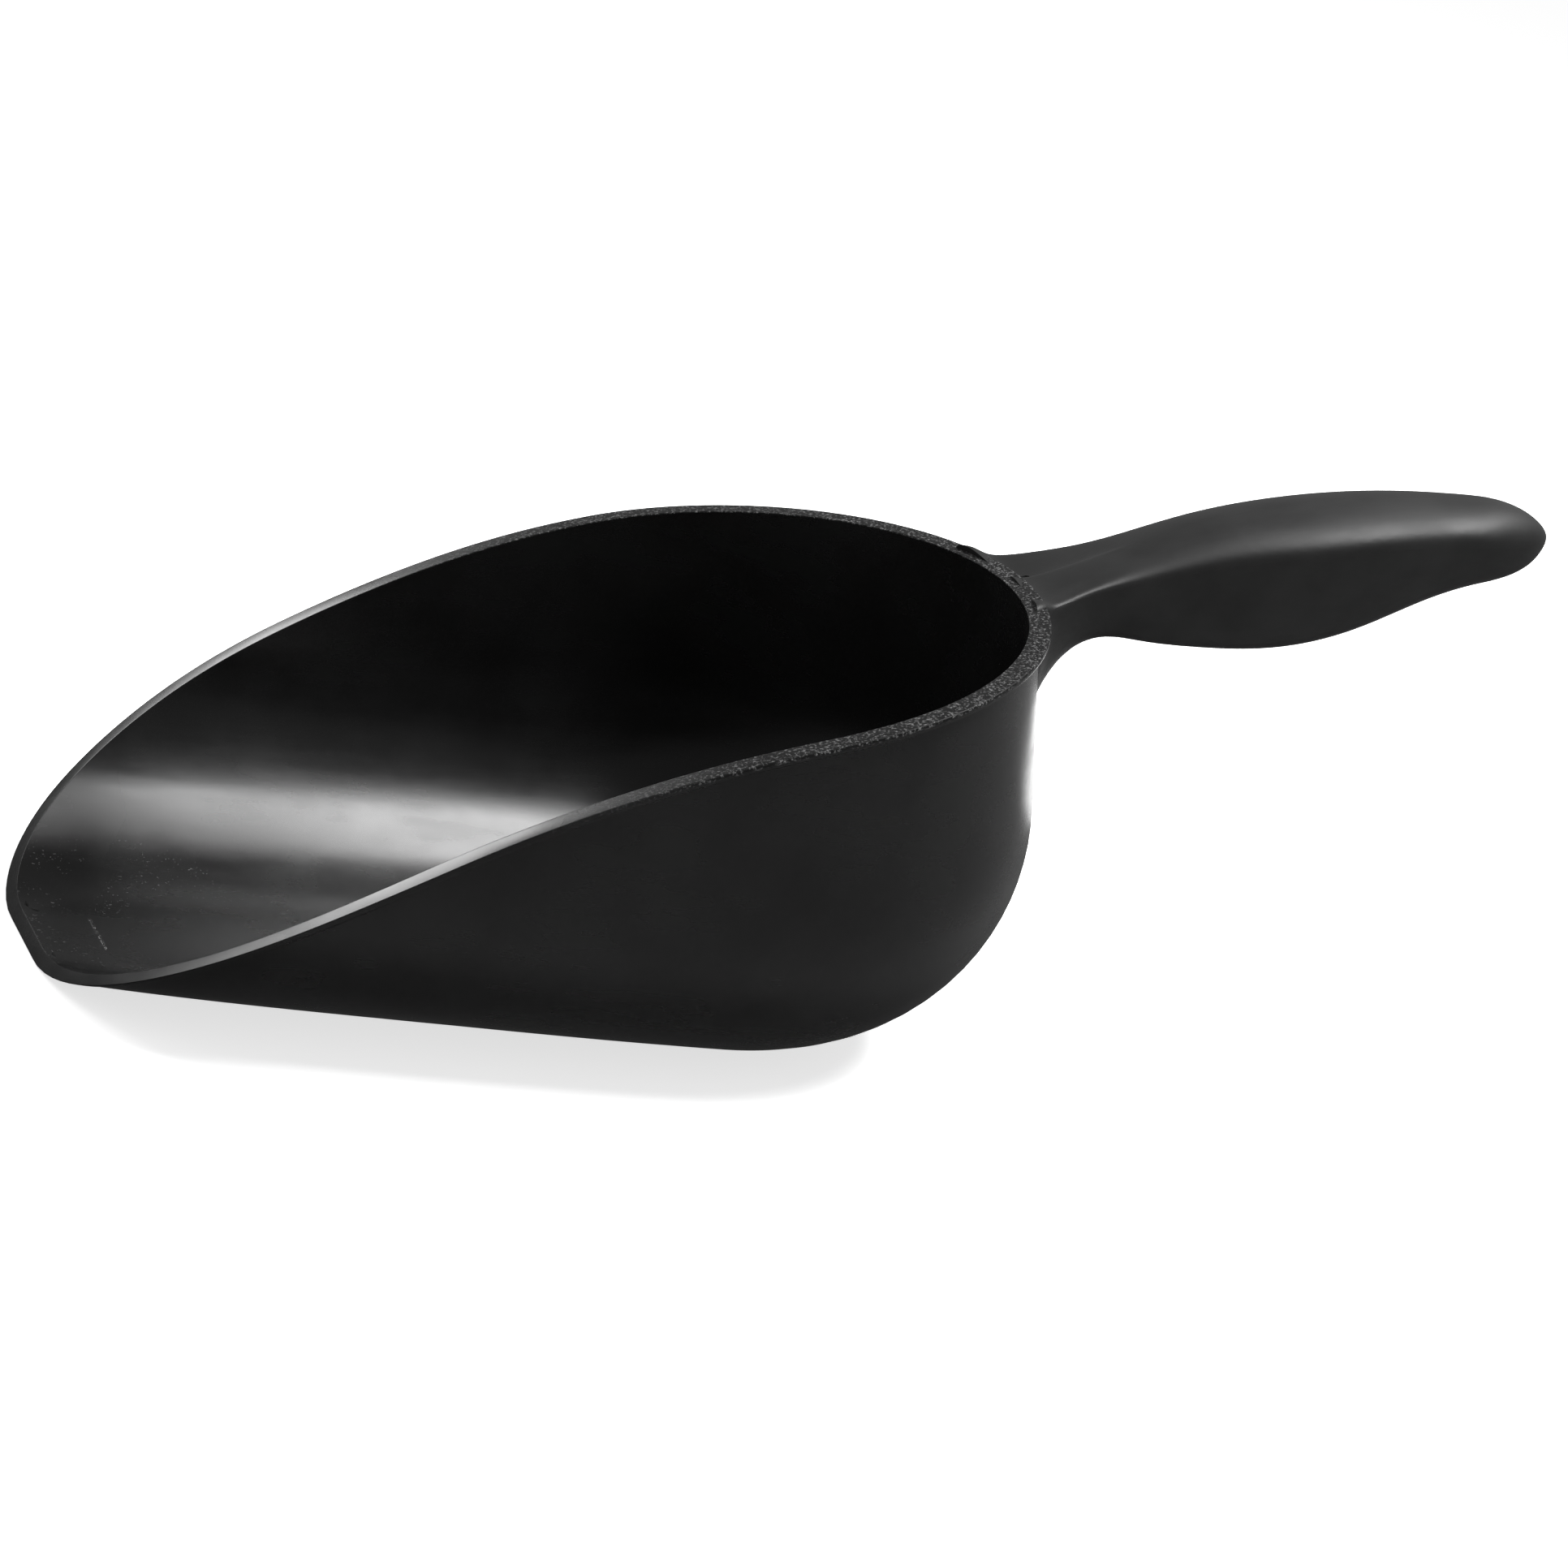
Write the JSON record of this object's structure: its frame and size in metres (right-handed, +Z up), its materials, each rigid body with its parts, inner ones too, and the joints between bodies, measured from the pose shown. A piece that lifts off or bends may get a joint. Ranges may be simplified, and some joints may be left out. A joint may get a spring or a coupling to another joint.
{
  "type": "hand scoop",
  "caption": "One-hand scoop with a deep thin-walled bowl, a low rounded tip, a lipped rim and a contoured hollow grip.",
  "frame": {"origin": "middle of the flat underside of the bowl's floor, in the object's plane of symmetry", "axes": "+X runs from the tip to the grip, +Z is up with the flat floor standing on a table, Y is the width and the object is symmetric about Y = 0 but for one small notch"},
  "size_m": [0.3269, 0.1448, 0.1321],
  "materials": {
    "bowl": "semi-gloss moulded black plastic",
    "grip": "semi-gloss moulded black plastic"
  },
  "bodies": {
    "root": {"scoop_bowl": "bowl", "handle_upper_shell": "grip", "handle_lower_shell": "grip"}
  },
  "joints": []
}
